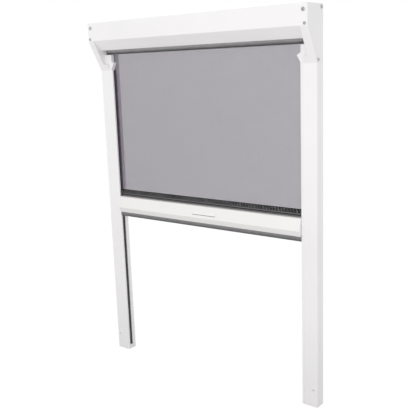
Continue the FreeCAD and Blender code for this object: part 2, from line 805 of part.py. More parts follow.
def torsion_spring():
    """Wire wound over the plug's boss at one end and the shaft's collar at the other."""
    turns = value("spring_turns")
    pitch = value("spring_pitch")
    flats = value("spring_flats")
    step = 2 * math.pi / flats
    reach = value("spring_radius") / math.cos(step / 2)
    start = -value(f"{TUBE_END} - plug_depth - spring_wire - fit_gap")
    points = []
    for number in range(round(turns * flats) + 1):
        angle = number * step
        along = start + pitch * number / flats
        points.append(FreeCAD.Vector(along, reach * math.sin(angle), reach * math.cos(angle)))
    line = Part.makePolygon(points)
    heading = points[1] - points[0]
    section = Part.makePolygon(wire_section(points[0], heading))
    coil = doc.addObject("Part::Feature", "torsion_spring")
    coil.Label = "torsion_spring"
    coil.Shape = line.makePipeShell([section], True, False, 1)
    coil.setExpression("Placement.Base.y", sized(AXIS_Y))
    coil.setExpression("Placement.Base.z", sized(AXIS_Z))
    return coil


def wire_section(centre, heading):
    """The closed six-sided section of the spring's wire, square to its heading."""
    across = heading.cross(FreeCAD.Vector(1, 0, 0)).normalize()
    upright = heading.cross(across).normalize()
    sides = 6
    radius = value("spring_wire")
    corners = []
    for number in range(sides + 1):
        angle = 2 * math.pi * number / sides
        corners.append(centre + across * (radius * math.cos(angle)) + upright * (radius * math.sin(angle)))
    return corners


# Net

def insect_net():
    """The drawn net, from the roll's back down to the hem, open in a plain grid."""
    foot = f"({HEM_TOP} + pile_clearance)"
    piece = new_body("insect_net")
    sketch = sketch_on(piece, "front", f"{NET} - net_thick / 2")
    rectangle(sketch, (minus(NET_EDGE), foot), (NET_EDGE, AXIS_Z))
    pad(sketch, "net_thick")
    across = f"((2 * {NET_EDGE} - net_rib) / {NET_COLUMNS})"
    up = f"(({AXIS_Z} - {foot} - net_rib) / {NET_ROWS})"
    row = sketch_on(piece, "front", f"{NET} - net_thick / 2")
    for column in range(NET_COLUMNS):
        left = f"net_rib - {NET_EDGE} + {column} * {across}"
        right = f"{left} + {across} - net_rib"
        rectangle(row, (left, f"{foot} + net_rib"), (right, f"{foot} + {up}"))
    openings = cut(row, "net_thick")
    rows = piece.newObject("PartDesign::LinearPattern", "insect_net_rows")
    rows.Originals = [openings]
    rows.Direction = (row, ["V_Axis"])
    rows.Occurrences = NET_ROWS
    bind(rows, Length=f"{up} * ({NET_ROWS} - 1)")
    piece.Tip = rows
    return piece


def net_hem():
    """Woven band along the net's edge, which drops into the slot in the pull bar."""
    foot = "(bar_top - hem_slot_depth)"
    cut_x = f"({BAR_CUT} - pile_clearance)"
    piece = new_body("net_hem")
    sketch = sketch_on(piece, "front", f"{NET} - hem_thick / 2")
    points = [
        (minus(NET_EDGE), HEM_TOP),
        (minus(NET_EDGE), "bar_top + pile_clearance"),
        (minus(cut_x), "bar_top + pile_clearance"),
        (minus(cut_x), foot),
        (cut_x, foot),
        (cut_x, "bar_top + pile_clearance"),
        (NET_EDGE, "bar_top + pile_clearance"),
        (NET_EDGE, HEM_TOP),
    ]
    outline(sketch, points)
    pad(sketch, "hem_thick")
    return piece


def hem_cord():
    """Round cord that holds the hem in the pull bar."""
    piece = new_body("hem_cord")
    sketch = sketch_on(piece, "side", f"{minus(BAR_CUT)} + fit_gap")
    centre = (NET, "bar_top - hem_slot_depth - hem_cord_radius - fit_gap")
    circle(sketch, centre, "hem_cord_radius")
    pad(sketch, f"2 * ({BAR_CUT} - fit_gap)")
    return piece


# Pull bar

def bar_faces():
    """The pull bar's front, from its top edge over the nose to its lower edge."""
    return [(BAR_FRONT, "bar_top"), (NOSE_Y, NOSE_Z), (BAR_FRONT, BAR_BOTTOM)]


def pull_bar():
    """Extrusion with a sloped front, the hem's slot on top and the brush's groove below."""
    cord_top = "(bar_top - hem_slot_depth)"
    cord_foot = f"({cord_top} - cord_room)"
    piece = new_body("pull_bar")
    sketch = sketch_on(piece, "side", minus(BAR_CUT))
    top = [
        (BAR_BACK, "bar_top"),
        (f"{NET} + hem_slot / 2", "bar_top"),
        (f"{NET} + hem_slot / 2", cord_top),
        (f"{NET} + cord_room / 2", cord_top),
        (f"{NET} + cord_room / 2", cord_foot),
        (f"{NET} - cord_room / 2", cord_foot),
        (f"{NET} - cord_room / 2", cord_top),
        (f"{NET} - hem_slot / 2", cord_top),
        (f"{NET} - hem_slot / 2", "bar_top"),
    ]
    outline(sketch, top + bar_faces() + hanging_groove(BAR_GROOVE, BAR_BOTTOM) + [(BAR_BACK, BAR_BOTTOM)])
    web_front = f"({NET} - cord_room / 2 - bar_wall)"
    web_rear = f"({NET} + cord_room / 2 + bar_wall)"
    outline(sketch, front_chamber("0"))
    rectangle(
        sketch,
        (web_rear, f"{BAR_BOTTOM} + bar_wall"),
        (f"{BAR_BACK} - bar_wall", "bar_top - bar_wall"),
    )
    rectangle(
        sketch,
        (f"{web_front} + bar_wall", f"{BAR_BOTTOM} + bar_wall"),
        (f"{web_rear} - bar_wall", f"{cord_foot} - bar_wall"),
    )
    pad(sketch, f"2 * {BAR_CUT}")
    slot = sketch_on(piece, "front", NOSE_Y)
    slot_half = "(grip_tongue_length / 2 + plug_clearance)"
    slot_roof = f"{GRIP_FOOT} + grip_tongue + plug_clearance"
    slot_low = (f"grip_offset - {slot_half}", GRIP_FOOT)
    rectangle(slot, slot_low, (f"grip_offset + {slot_half}", slot_roof))
    cut(slot, "nose_reach")
    nose = ("0", NOSE_Y, NOSE_Z)
    round_edges(piece, "cap_round", nose, ("0", BAR_FRONT, "bar_top"), ("0", BAR_FRONT, BAR_BOTTOM))
    return piece


def front_chamber(inset):
    """The hollow behind the bar's sloped front, drawn in by an inset all round."""
    edge = f"(bar_wall + {inset})"
    floor = f"({BAR_BOTTOM} + hook_thick + {GROOVE_DEPTH} + {edge})"
    web = f"({NET} - cord_room / 2 - bar_wall - {inset})"
    return [
        (f"{BAR_FRONT} + {edge}", f"bar_top - {edge}"),
        (web, f"bar_top - {edge}"),
        (web, floor),
        (f"{BAR_FRONT} + {edge}", floor),
        (f"{NOSE_Y} + {edge}", NOSE_Z),
    ]


def bar_end():
    """Moulded end of the bar: cover, plug, and the glider that runs in the rail."""
    piece = new_body("bar_end_right")
    cover = sketch_on(piece, "side", BAR_CUT)
    outline(cover, [(BAR_BACK, "bar_top")] + bar_faces() + [(BAR_BACK, BAR_BOTTOM)])
    pad(cover, "bar_end_width")
    plug = sketch_on(piece, "side", f"{BAR_CUT} - foot_plug")
    outline(plug, front_chamber("plug_clearance"))
    pad(plug, "foot_plug")
    glider_top = "(bar_top - glider_drop)"
    glider_foot = f"({glider_top} - glider_height)"
    shoe_outer = f"({CHANNEL_OUTER} - glider_clearance)"
    shoe_inner = f"({shoe_outer} - glider_width)"
    fin = sketch_on(piece, "side", BAR_OUTER)
    rectangle(fin, (f"{NET} - fin_thick / 2", glider_foot), (f"{NET} + fin_thick / 2", glider_top))
    pad(fin, f"{shoe_inner} - {BAR_OUTER}")
    half = f"({CHANNEL_HALF} - glider_clearance)"
    shoe = sketch_on(piece, "side", shoe_inner)
    rectangle(shoe, (f"{NET} - {half}", glider_foot), (f"{NET} + {half}", glider_top))
    pad(shoe, "glider_width")
    middle = f"{NOSE_Y} + nose_reach / 2"
    upper_middle = (BAR_OUTER, middle, f"({NOSE_Z} + bar_top) / 2")
    lower_middle = (BAR_OUTER, middle, f"({NOSE_Z} + {BAR_BOTTOM}) / 2")
    round_edges(piece, "bar_end_round", upper_middle, lower_middle)
    groove = sketch_on(piece, "side", BAR_CUT)
    outline(groove, hanging_groove(BAR_GROOVE, BAR_BOTTOM))
    cut(groove, "bar_end_width")
    return piece


def grip():
    """Lip for the fingertips, with a tongue that sits in a slot in the bar's front."""
    def face(rise):
        """The bar's sloped front at a height above the nose."""
        return f"{NOSE_Y} + nose_reach * ({rise}) / nose_drop"
    piece = new_body("grip")
    lip = sketch_on(piece, "side", "grip_offset - grip_length / 2")
    points = [
        (face("grip_rise + grip_height"), f"{GRIP_FOOT} + grip_height"),
        (f"{face('grip_rise')} - grip_reach", GRIP_FOOT),
        (face("grip_rise"), GRIP_FOOT),
    ]
    outline(lip, points)
    pad(lip, "grip_length")
    tongue = sketch_on(piece, "side", "grip_offset - grip_tongue_length / 2")
    tongue_end = f"{face('grip_rise')} + 2 * bar_wall"
    rectangle(tongue, (face("grip_rise"), GRIP_FOOT), (tongue_end, f"{GRIP_FOOT} + grip_tongue"))
    pad(tongue, "grip_tongue_length")
    return piece


def bar_brush():
    """Pile strip under the bar and its ends, which closes the gap at the sill."""
    half_length = f"({BAR_OUTER} - fit_gap)"
    return hanging_brush("bar_brush", BAR_GROOVE, BAR_BOTTOM, "bar_brush_drop", "0", half_length)


# Screws

def pan_screw(name, place, outward, head, head_top, length):
    """One pan head screw whose head is seated at a place and looks outward."""
    shank = doc.addObject("Part::Cylinder", f"{name}_shank")
    bind(shank, Radius="screw_radius", Height=f"{length} - screw_head_height")
    shank.setExpression("Placement.Base.z", sized(f"screw_head_height - {length}"))
    cone = doc.addObject("Part::Cone", f"{name}_head")
    bind(cone, Radius1=head, Radius2=head_top, Height="screw_head_height")
    screw = doc.addObject("Part::Fuse", name)
    screw.Base = shank
    screw.Tool = cone
    screw.Placement.Rotation = FreeCAD.Rotation(FreeCAD.Vector(0, 0, 1), FreeCAD.Vector(*outward))
    for axis, text in zip("xyz", place):
        screw.setExpression(f"Placement.Base.{axis}", sized(text))
    return screw


def cap_screws():
    """The screws of both end caps, which are alike."""
    screws = []
    forward = (0, -1, 0)
    for side, name in ((1, "right"), (-1, "left")):
        def across(text):
            return f"({side}) * ({text})"
        outward = (side, 0, 0)
        wide = ("screw_head", "screw_head_top", "screw_length")
        small = ("low_screw_head", "low_screw_top", "screw_length")
        long = ("low_screw_head", "low_screw_top", "leg_screw_length")
        seats = [
            ("face", (across(FACE_SCREW_X), FRONT, FACE_SCREW_Z), forward, wide),
            ("low", (across(LOW_SCREW_X), FRONT, LOW_SCREW_Z), forward, small),
            ("port", (across(HALF), PORT_Y, PORT_Z), outward, wide),
            ("leg", (across(HALF), LEG_SCREW_Y, LEG_SCREW_Z), outward, long),
        ]
        for place_name, place, direction, head in seats:
            screws.append(pan_screw(f"{place_name}_{name}", place, direction, *head))
    group = doc.addObject("Part::Compound", "cap_screws")
    group.Label = "cap_screws"
    group.Links = screws
    return group


# The whole screen

def build():
    """Every node of the screen."""
    cap = end_cap()
    guide = inlet_guide()
    rail = guide_rail()
    foot = rail_foot()
    front_brush = rail_brush("rail_brush_front_right", -1)
    rear_brush = rail_brush("rail_brush_rear_right", 1)
    end = bar_end()
    pieces = [cassette_housing(), exit_brush(), cap, guide, rail, foot, front_brush, rear_brush, end]
    for piece in (cap, guide, rail, foot, front_brush, rear_brush, end):
        pieces.append(mirror_to_left(piece, piece.Label.replace("_right", "_left")))
    pieces += [
        ring("roller_tube", TUBE_END, "tube_radius", "tube_radius - tube_wall"),
        ring("net_roll", NET_EDGE, "roll_radius", "tube_radius + fit_gap"),
        roller_plug("idle_plug", 1, False),
        roller_plug("spring_plug", -1, True),
        fixed_pin("idle_pin", 1, f"({INNER_WALL} - {TUBE_END} + plug_depth)"),
        spring_shaft(),
        torsion_spring(),
        insect_net(),
        net_hem(),
        hem_cord(),
        pull_bar(),
        grip(),
        bar_brush(),
        cap_screws(),
    ]
    return pieces


def check(pieces):
    """Stop if any object failed or any node has no valid shape."""
    for item in doc.Objects:
        if {"Invalid", "Error"} & set(item.State):
            raise RuntimeError(f"{item.Name} failed: {item.State}")
    for piece in pieces:
        if piece.Shape.isNull() or not piece.Shape.isValid():
            raise RuntimeError(f"{piece.Label} has no valid shape")


def write(pieces):
    """One STEP file for each node."""
    os.makedirs("parts", exist_ok=True)
    for piece in pieces:
        piece.Shape.exportStep(os.path.join("parts", f"{piece.Label}.step"))
        box = piece.Shape.BoundBox
        spans = [round(number, 1) for number in (box.XLength, box.YLength, box.ZLength)]
        print(piece.Label, len(piece.Shape.Solids), round(piece.Shape.Volume, 1), spans)


nodes = build()
doc.recompute()
check(nodes)
write(nodes)
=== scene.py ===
"""Retractable insect screen for a window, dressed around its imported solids.

Everything is in metres and in the frame of the solids: X runs to the right along the
cassette, Y to the back that is fixed to the window, and Z up the guide rails.
"""

import math
import random

import bpy
from mathutils import Euler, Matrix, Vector


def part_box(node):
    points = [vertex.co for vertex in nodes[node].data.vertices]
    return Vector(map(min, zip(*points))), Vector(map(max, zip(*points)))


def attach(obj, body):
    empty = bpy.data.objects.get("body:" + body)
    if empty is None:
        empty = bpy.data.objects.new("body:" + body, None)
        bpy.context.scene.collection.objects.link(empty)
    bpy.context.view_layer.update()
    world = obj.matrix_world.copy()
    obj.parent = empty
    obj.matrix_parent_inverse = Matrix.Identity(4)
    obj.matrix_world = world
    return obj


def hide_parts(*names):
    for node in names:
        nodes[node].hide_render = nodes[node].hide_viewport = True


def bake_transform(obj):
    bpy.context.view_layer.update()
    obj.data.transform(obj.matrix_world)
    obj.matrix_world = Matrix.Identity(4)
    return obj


MM = 0.001

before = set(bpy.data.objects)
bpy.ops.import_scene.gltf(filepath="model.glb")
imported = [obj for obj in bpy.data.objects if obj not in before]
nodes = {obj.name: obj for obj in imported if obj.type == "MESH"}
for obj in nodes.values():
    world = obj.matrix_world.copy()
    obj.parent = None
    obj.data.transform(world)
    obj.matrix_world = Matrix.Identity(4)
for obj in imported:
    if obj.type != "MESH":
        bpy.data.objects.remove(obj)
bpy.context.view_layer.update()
dice = random.Random(11)


# Camera

EYE = (0.78707, -0.98101, 0.60567)
TURN_LEFT = math.radians(38.227)
TILT_DOWN = math.radians(11.608)
ROLL = math.radians(-2.058)
SENSOR_WIDTH = 36.0
LENS = 58.81

lens = bpy.data.cameras.new("camera")
lens.sensor_width = SENSOR_WIDTH
lens.lens = LENS
camera = bpy.data.objects.new("camera", lens)
turn = Euler((0, 0, TURN_LEFT)).to_matrix()
tilt = Euler((math.pi / 2 - TILT_DOWN, 0, 0)).to_matrix()
roll = Euler((0, 0, ROLL)).to_matrix()
camera.matrix_world = (turn @ tilt @ roll).to_4x4()
camera.location = EYE
bpy.context.scene.collection.objects.link(camera)
bpy.context.scene.camera = camera


# Shared effects, as node groups that give out values and colours

SPECK_SHARE = 0.35
NOISE_LOW = 0.3
NOISE_HIGH = 0.7
PLY_WANDER = 1.5


def effect(name, inputs, outputs):
    """An empty node group with its named sockets."""
    group = bpy.data.node_groups.new(name, "ShaderNodeTree")
    kinds = {
        "value": "NodeSocketFloat",
        "colour": "NodeSocketColor",
        "vector": "NodeSocketVector",
    }
    for label, kind in inputs.items():
        group.interface.new_socket(label, in_out="INPUT", socket_type=kinds[kind])
    for label, kind in outputs.items():
        group.interface.new_socket(label, in_out="OUTPUT", socket_type=kinds[kind])
    taken = group.nodes.new("NodeGroupInput")
    given = group.nodes.new("NodeGroupOutput")
    taken.location = (-900, 0)
    given.location = (600, 0)
    return group, taken.outputs, given.inputs


def add(tree, kind, spot, **settings):
    """A node at a spot, with its settings."""
    node = tree.nodes.new(kind)
    node.location = spot
    for name, setting in settings.items():
        setattr(node, name, setting)
    return node


def stretched_place(tree, stretch):
    """The point on the piece, in metres, stretched along each axis."""
    place = add(tree, "ShaderNodeTexCoord", (-900, 300))
    scaled = add(tree, "ShaderNodeVectorMath", (-700, 200), operation="MULTIPLY")
    tree.links.new(place.outputs["Object"], scaled.inputs[0])
    tree.links.new(stretch, scaled.inputs[1])
    return scaled.outputs["Vector"]


def surface_grain():
    """Fine dimples of a coat or of a moulding tool, drawn out along an extrusion."""
    group, taken, given = effect(
        "surface grain",
        {"Cells per metre": "value", "Stretch": "vector"},
        {"Height": "value"},
    )
    spot = stretched_place(group, taken["Stretch"])
    cells = add(group, "ShaderNodeTexNoise", (-450, 200))
    cells.inputs["Detail"].default_value = 3.0
    cells.inputs["Roughness"].default_value = 0.6
    specks = add(group, "ShaderNodeTexVoronoi", (-450, -150))
    mixed = add(group, "ShaderNodeMath", (-200, 100), operation="MULTIPLY_ADD")
    mixed.inputs[1].default_value = SPECK_SHARE
    for texture in (cells, specks):
        group.links.new(spot, texture.inputs["Vector"])
        group.links.new(taken["Cells per metre"], texture.inputs["Scale"])
    group.links.new(specks.outputs["Distance"], mixed.inputs[0])
    group.links.new(cells.outputs["Fac"], mixed.inputs[2])
    group.links.new(mixed.outputs["Value"], given["Height"])
    return group


def slow_drift():
    """A colour and a roughness that wander a little over the length of a piece."""
    group, taken, given = effect(
        "slow drift",
        {
            "Patches per metre": "value",
            "Stretch": "vector",
            "Colour": "colour",
            "Other colour": "colour",
            "Smoothest": "value",
            "Roughest": "value",
        },
        {"Colour": "colour", "Roughness": "value"},
    )
    spot = stretched_place(group, taken["Stretch"])
    patches = add(group, "ShaderNodeTexNoise", (-450, 200))
    patches.inputs["Detail"].default_value = 4.0
    group.links.new(spot, patches.inputs["Vector"])
    group.links.new(taken["Patches per metre"], patches.inputs["Scale"])
    spread = add(group, "ShaderNodeMapRange", (-200, 200))
    spread.inputs["From Min"].default_value = NOISE_LOW
    spread.inputs["From Max"].default_value = NOISE_HIGH
    tint = add(group, "ShaderNodeMix", (50, 200), data_type="RGBA")
    group.links.new(patches.outputs["Fac"], spread.inputs["Value"])
    group.links.new(spread.outputs["Result"], tint.inputs["Factor"])
    group.links.new(taken["Colour"], tint.inputs["A"])
    group.links.new(taken["Other colour"], tint.inputs["B"])
    rough = add(group, "ShaderNodeMapRange", (50, -150))
    group.links.new(spread.outputs["Result"], rough.inputs["Value"])
    group.links.new(taken["Smoothest"], rough.inputs["To Min"])
    group.links.new(taken["Roughest"], rough.inputs["To Max"])
    group.links.new(tint.outputs["Result"], given["Colour"])
    group.links.new(rough.outputs["Result"], given["Roughness"])
    return group


def thread_twist():
    """The slanting plies of a twisted thread, and the fleck of single fibres."""
    group, taken, given = effect(
        "thread twist",
        {"Plies per metre": "value"},
        {"Height": "value", "Fleck": "value"},
    )
    spot = add(group, "ShaderNodeTexCoord", (-900, 300)).outputs["Object"]
    plies = add(group, "ShaderNodeTexWave", (-450, 200), bands_direction="DIAGONAL")
    plies.inputs["Distortion"].default_value = PLY_WANDER
    fleck = add(group, "ShaderNodeTexNoise", (-450, -150))
    fleck.inputs["Detail"].default_value = 2.0
    for texture in (plies, fleck):
        group.links.new(spot, texture.inputs["Vector"])
        group.links.new(taken["Plies per metre"], texture.inputs["Scale"])
    group.links.new(plies.outputs["Fac"], given["Height"])
    group.links.new(fleck.outputs["Fac"], given["Fleck"])
    return group


GRAIN = surface_grain()
DRIFT = slow_drift()
TWIST = thread_twist()


# Materials

PATCHES_PER_METRE = 9.0
GRAIN_STRENGTH = 0.5
PLY_STRENGTH = 0.6


def placed(tree, group, spot, **values):
    """A shared effect in a material, with this material's own values."""
    node = add(tree, "ShaderNodeGroup", spot, node_tree=group)
    for name, number in values.items():
        node.inputs[name.replace("_", " ")].default_value = number
    return node


def new_material(name, **shader):
    """A material whose shader has its constant values set on its own sockets."""
    material = bpy.data.materials.new(name)
    material.use_nodes = True
    principled = material.node_tree.nodes["Principled BSDF"]
    for label, number in shader.items():
        principled.inputs[label.replace("_", " ")].default_value = number
    return material, material.node_tree, principled


def hard_finish(name, colour, other, rough, cells, depth, stretch=(1, 1, 1), **shader):
    """A coated, moulded or bare metal surface: grain in the bump and a slow drift of tone."""
    material, tree, principled = new_material(name, **shader)
    drift = placed(
        tree, DRIFT, (-600, 200),
        Patches_per_metre=PATCHES_PER_METRE, Stretch=stretch,
        Colour=(*colour, 1), Other_colour=(*other, 1),
        Smoothest=rough[0], Roughest=rough[1],
    )
    grain = placed(tree, GRAIN, (-600, -200), Cells_per_metre=cells, Stretch=stretch)
    bump = add(tree, "ShaderNodeBump", (-300, -200))
    bump.inputs["Strength"].default_value = GRAIN_STRENGTH
    bump.inputs["Distance"].default_value = depth
    tree.links.new(drift.outputs["Colour"], principled.inputs["Base Color"])
    tree.links.new(drift.outputs["Roughness"], principled.inputs["Roughness"])
    tree.links.new(grain.outputs["Height"], bump.inputs["Height"])
    tree.links.new(bump.outputs["Normal"], principled.inputs["Normal"])
    return material


def thread_finish(name, colour, other, plies, depth, **shader):
    """Thread, pile or tape: plies in the bump and lighter fibres in the colour."""
    material, tree, principled = new_material(name, **shader)
    twist = placed(tree, TWIST, (-600, 0), Plies_per_metre=plies)
    tint = add(tree, "ShaderNodeMix", (-300, 200), data_type="RGBA")
    tint.inputs["A"].default_value = (*colour, 1)
    tint.inputs["B"].default_value = (*other, 1)
    bump = add(tree, "ShaderNodeBump", (-300, -200))
    bump.inputs["Strength"].default_value = PLY_STRENGTH
    bump.inputs["Distance"].default_value = depth
    tree.links.new(twist.outputs["Fleck"], tint.inputs["Factor"])
    tree.links.new(tint.outputs["Result"], principled.inputs["Base Color"])
    tree.links.new(twist.outputs["Height"], bump.inputs["Height"])
    tree.links.new(bump.outputs["Normal"], principled.inputs["Normal"])
    return material


coated_aluminium = hard_finish(
    "powder coated aluminium", (0.865, 0.85, 0.853), (0.835, 0.822, 0.826), (0.36, 0.44),
    cells=1400.0, depth=0.00006, Specular_IOR_Level=0.45,
)
warm_coat = hard_finish(
    "warmer powder coat", (0.855, 0.842, 0.83), (0.83, 0.818, 0.806), (0.36, 0.44),
    cells=1400.0, depth=0.00006, Specular_IOR_Level=0.45,
)
moulded_plastic = hard_finish(
    "white moulded plastic", (0.845, 0.832, 0.835), (0.815, 0.803, 0.806), (0.42, 0.52),
    cells=2300.0, depth=0.00005, Specular_IOR_Level=0.4,
)
mill_aluminium = hard_finish(
    "mill finish aluminium", (0.62, 0.62, 0.63), (0.55, 0.55, 0.56), (0.28, 0.42),
    cells=900.0, depth=0.00003, stretch=(0.02, 1, 1), Metallic=1.0,
)
zinc_steel = hard_finish(
    "zinc plated steel", (0.50, 0.50, 0.51), (0.40, 0.40, 0.42), (0.25, 0.40),
    cells=3000.0, depth=0.00002, Metallic=1.0,
)
spring_steel = hard_finish(
    "oiled spring steel", (0.26, 0.25, 0.24), (0.19, 0.18, 0.175), (0.30, 0.45),
    cells=2600.0, depth=0.00003, Metallic=1.0,
)
# The grip's whiter colour is a painted highlight along its lip; its lower roughness is real
# gloss.
whitened_plastic_painted_highlight = hard_finish(
    "polished plastic with painted highlight", (0.94, 0.93, 0.925), (0.92, 0.91, 0.905), (0.22, 0.30),
    cells=1500.0, depth=0.00002, Specular_IOR_Level=0.5,
)
# Real colour of the grey plugs; also used for the painted shade strip under the grip and the
# painted shade of the cover caps' coin slots.
grey_plastic_and_painted_shade = hard_finish(
    "grey moulded plastic and painted shade", (0.12, 0.12, 0.125), (0.10, 0.10, 0.105), (0.45, 0.58),
    cells=2300.0, depth=0.00005, Specular_IOR_Level=0.4,
)
net_thread = thread_finish(
    "coated net thread", (0.082, 0.060, 0.100), (0.116, 0.090, 0.136),
    plies=1800.0, depth=0.00004, Roughness=0.6,
)
wound_thread = thread_finish(
    "wound net", (0.040, 0.040, 0.043), (0.085, 0.085, 0.09),
    plies=900.0, depth=0.0002, Roughness=0.75,
)
tape_ground = thread_finish(
    "woven hem tape", (0.007, 0.0068, 0.0073), (0.016, 0.0155, 0.0165),
    plies=1400.0, depth=0.0001, Roughness=0.85, Specular_IOR_Level=0.15,
)
tape_thread = thread_finish(
    "hem tape ribs", (0.12, 0.117, 0.121), (0.19, 0.186, 0.192),
    plies=2500.0, depth=0.00006, Roughness=0.7, Specular_IOR_Level=0.3,
)
pile_fibre = thread_finish(
    "brush pile", (0.075, 0.072, 0.073), (0.16, 0.155, 0.157),
    plies=1500.0, depth=0.00005, Roughness=0.8, Sheen_Weight=0.35, Sheen_Roughness=0.5,
)
grey_pile_fibre = thread_finish(
    "grey brush pile", (0.27, 0.265, 0.27), (0.40, 0.39, 0.40),
    plies=1500.0, depth=0.00005, Roughness=0.8, Sheen_Weight=0.35, Sheen_Roughness=0.5,
)
pale_pile_fibre = thread_finish(
    "pale brush pile", (0.44, 0.43, 0.44), (0.60, 0.59, 0.60),
    plies=1500.0, depth=0.00005, Roughness=0.8, Sheen_Weight=0.35, Sheen_Roughness=0.5,
)
# Real dark backing and fin; below the exit brush's pale pile the same dark fin is a painted
# shade line.
dark_backing_and_painted_shade = hard_finish(
    "brush backing and painted shade", (0.055, 0.054, 0.055), (0.045, 0.044, 0.045), (0.5, 0.65),
    cells=1500.0, depth=0.00005,
)
spline_rubber = hard_finish(
    "spline rubber", (0.03, 0.03, 0.032), (0.04, 0.04, 0.042), (0.6, 0.75),
    cells=1800.0, depth=0.00005,
)


# Solids that show as they are: a new finish, and softened edges

EDGE = 0.35 * MM
FINE_EDGE = 0.15 * MM
WELD_WITHIN = 0.002 * MM
FLAT_WITHIN = math.radians(0.5)
SHARP_FROM = math.radians(25)


def soften(piece, radius):
    """Join the faces that lie in one plane and break the sharp edges a little."""
    weld = piece.modifiers.new("join corners", "WELD")
    weld.merge_threshold = WELD_WITHIN
    flat = piece.modifiers.new("join flat faces", "DECIMATE")
    flat.decimate_type = "DISSOLVE"
    flat.angle_limit = FLAT_WITHIN
    edge = piece.modifiers.new("broken edges", "BEVEL")
    edge.width = radius
    edge.segments = 2
    edge.limit_method = "ANGLE"
    edge.angle_limit = SHARP_FROM
    edge.harden_normals = True
    shade = piece.modifiers.new("even shading", "WEIGHTED_NORMAL")
    shade.keep_sharp = True


def dress(material, names, radius=None):
    """Give solids their finish, and softened edges where a radius is given."""
    for name in names:
        piece = nodes[name]
        piece.data.materials.clear()
        piece.data.materials.append(material)
        if radius:
            soften(piece, radius)


def both(*names):
    """The left and the right node of each name."""
    return [f"{name}_{side}" for name in names for side in ("left", "right")]


dress(coated_aluminium, ["cassette_housing"] + both("guide_rail"), EDGE)
dress(warm_coat, ["pull_bar"], EDGE)
dress(moulded_plastic, both("end_cap", "inlet_guide", "rail_foot", "bar_end"), EDGE)
dress(mill_aluminium, ["roller_tube"])
dress(whitened_plastic_painted_highlight, ["grip"], FINE_EDGE)
dress(grey_plastic_and_painted_shade, ["idle_plug", "spring_plug"], EDGE)
dress(zinc_steel, ["idle_pin", "spring_shaft"], EDGE)
dress(spline_rubber, ["hem_cord"])


# Making pieces from strands, bars and hairs

X = Vector((1, 0, 0))
Y = Vector((0, 1, 0))
Z = Vector((0, 0, 1))


class Stock:
    """Points and faces of one piece while it is being made."""

    def __init__(self):
        self.points = []
        self.faces = []
        self.kinds = []

    def loft(self, rings, kind=0):
        """Skin through rings of equally many points, with an end face at each end."""
        count = len(rings[0])
        first = len(self.points)
        for ring in rings:
            self.points.extend(ring)
        last = first + (len(rings) - 1) * count
        for near in range(first, last, count):
            far = near + count
            for corner in range(count):
                after = (corner + 1) % count
                self.faces.append((near + corner, near + after, far + after, far + corner))
        self.faces.append(tuple(range(first + count - 1, first - 1, -1)))
        self.faces.append(tuple(range(last, last + count)))
        self.kinds.extend([kind] * (len(self.faces) - len(self.kinds)))

    def strand(self, start, end, across, thick, kind=0):
        """A flat thread between two points; across and thick are half its width and height."""
        corners = [across + thick, thick - across, -across - thick, across - thick]
        self.loft([[start + c for c in corners], [end + c for c in corners]], kind)

    def box(self, low, high, kind=0):
        """A block between its lowest and highest corners."""
        low, high = Vector(low), Vector(high)
        across = Vector((0, (high.y - low.y) / 2, 0))
        thick = Vector((0, 0, (high.z - low.z) / 2))
        start = Vector((low.x, (low.y + high.y) / 2, (low.z + high.z) / 2))
        end = Vector((high.x, start.y, start.z))
        self.strand(start, end, across, thick, kind)

    def hair(self, foot, tip, half):
        """A tapered bristle with three sides."""
        heading = (tip - foot).normalized()
        side = heading.orthogonal().normalized()
        other = heading.cross(side)
        first = len(self.points)
        for angle in (0, 2 * math.pi / 3, 4 * math.pi / 3):
            self.points.append(foot + (side * math.cos(angle) + other * math.sin(angle)) * half)
        self.points.append(tip)
        corners = ((0, 2, 1), (0, 1, 3), (1, 2, 3), (2, 0, 3))
        self.faces.extend(tuple(first + number for number in face) for face in corners)
        self.kinds.extend([0] * len(corners))

    def made(self, name, *materials, smooth=False):
        """The finished piece, as an object."""
        mesh = bpy.data.meshes.new(name)
        mesh.from_pydata(self.points, [], self.faces)
        for material in materials:
            mesh.materials.append(material)
        mesh.polygons.foreach_set("material_index", self.kinds)
        mesh.polygons.foreach_set("use_smooth", [smooth] * len(self.faces))
        mesh.update()
        piece = bpy.data.objects.new(name, mesh)
        bpy.context.scene.collection.objects.link(piece)
        return piece


def steps(low, high, pitch):
    """Evenly spaced places from low to high, at about that pitch."""
    count = max(1, round((high - low) / pitch))
    return [low + (high - low) * number / count for number in range(count + 1)]


def circle(centre, side, other, radius, count):
    """Points round a centre, in the plane of two directions."""
    points = []
    for number in range(count):
        angle = 2 * math.pi * number / count
        spread = side * math.cos(angle) + other * math.sin(angle)
        points.append(centre + spread * radius)
    return points


# The drawn net: fine threads both ways

NET_PITCH = 0.95 * MM
THREAD_HALF = 0.18 * MM
THREAD_THIN = 0.05 * MM

net_low, net_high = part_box("insect_net")
net_middle = (net_low.y + net_high.y) / 2
threads = Stock()
for x in steps(net_low.x + THREAD_HALF, net_high.x - THREAD_HALF, NET_PITCH):
    start = Vector((x, net_middle - THREAD_THIN, net_low.z))
    end = Vector((x, net_middle - THREAD_THIN, net_high.z))
    threads.strand(start, end, X * THREAD_HALF, Y * THREAD_THIN)
for z in steps(net_low.z + THREAD_HALF, net_high.z - THREAD_HALF, NET_PITCH):
    start = Vector((net_low.x, net_middle + THREAD_THIN, z))
    end = Vector((net_high.x, net_middle + THREAD_THIN, z))
    threads.strand(start, end, Z * THREAD_HALF, Y * THREAD_THIN)
drawn_net = threads.made("drawn_net", net_thread)
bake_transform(drawn_net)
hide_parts("insect_net")


# The wound part of the net, as a spiral on the roller

WOUND_TURNS = 3.7
WOUND_SLICES = 56
WOUND_THICK = 0.3 * MM
WOUND_CLEAR = 0.1 * MM

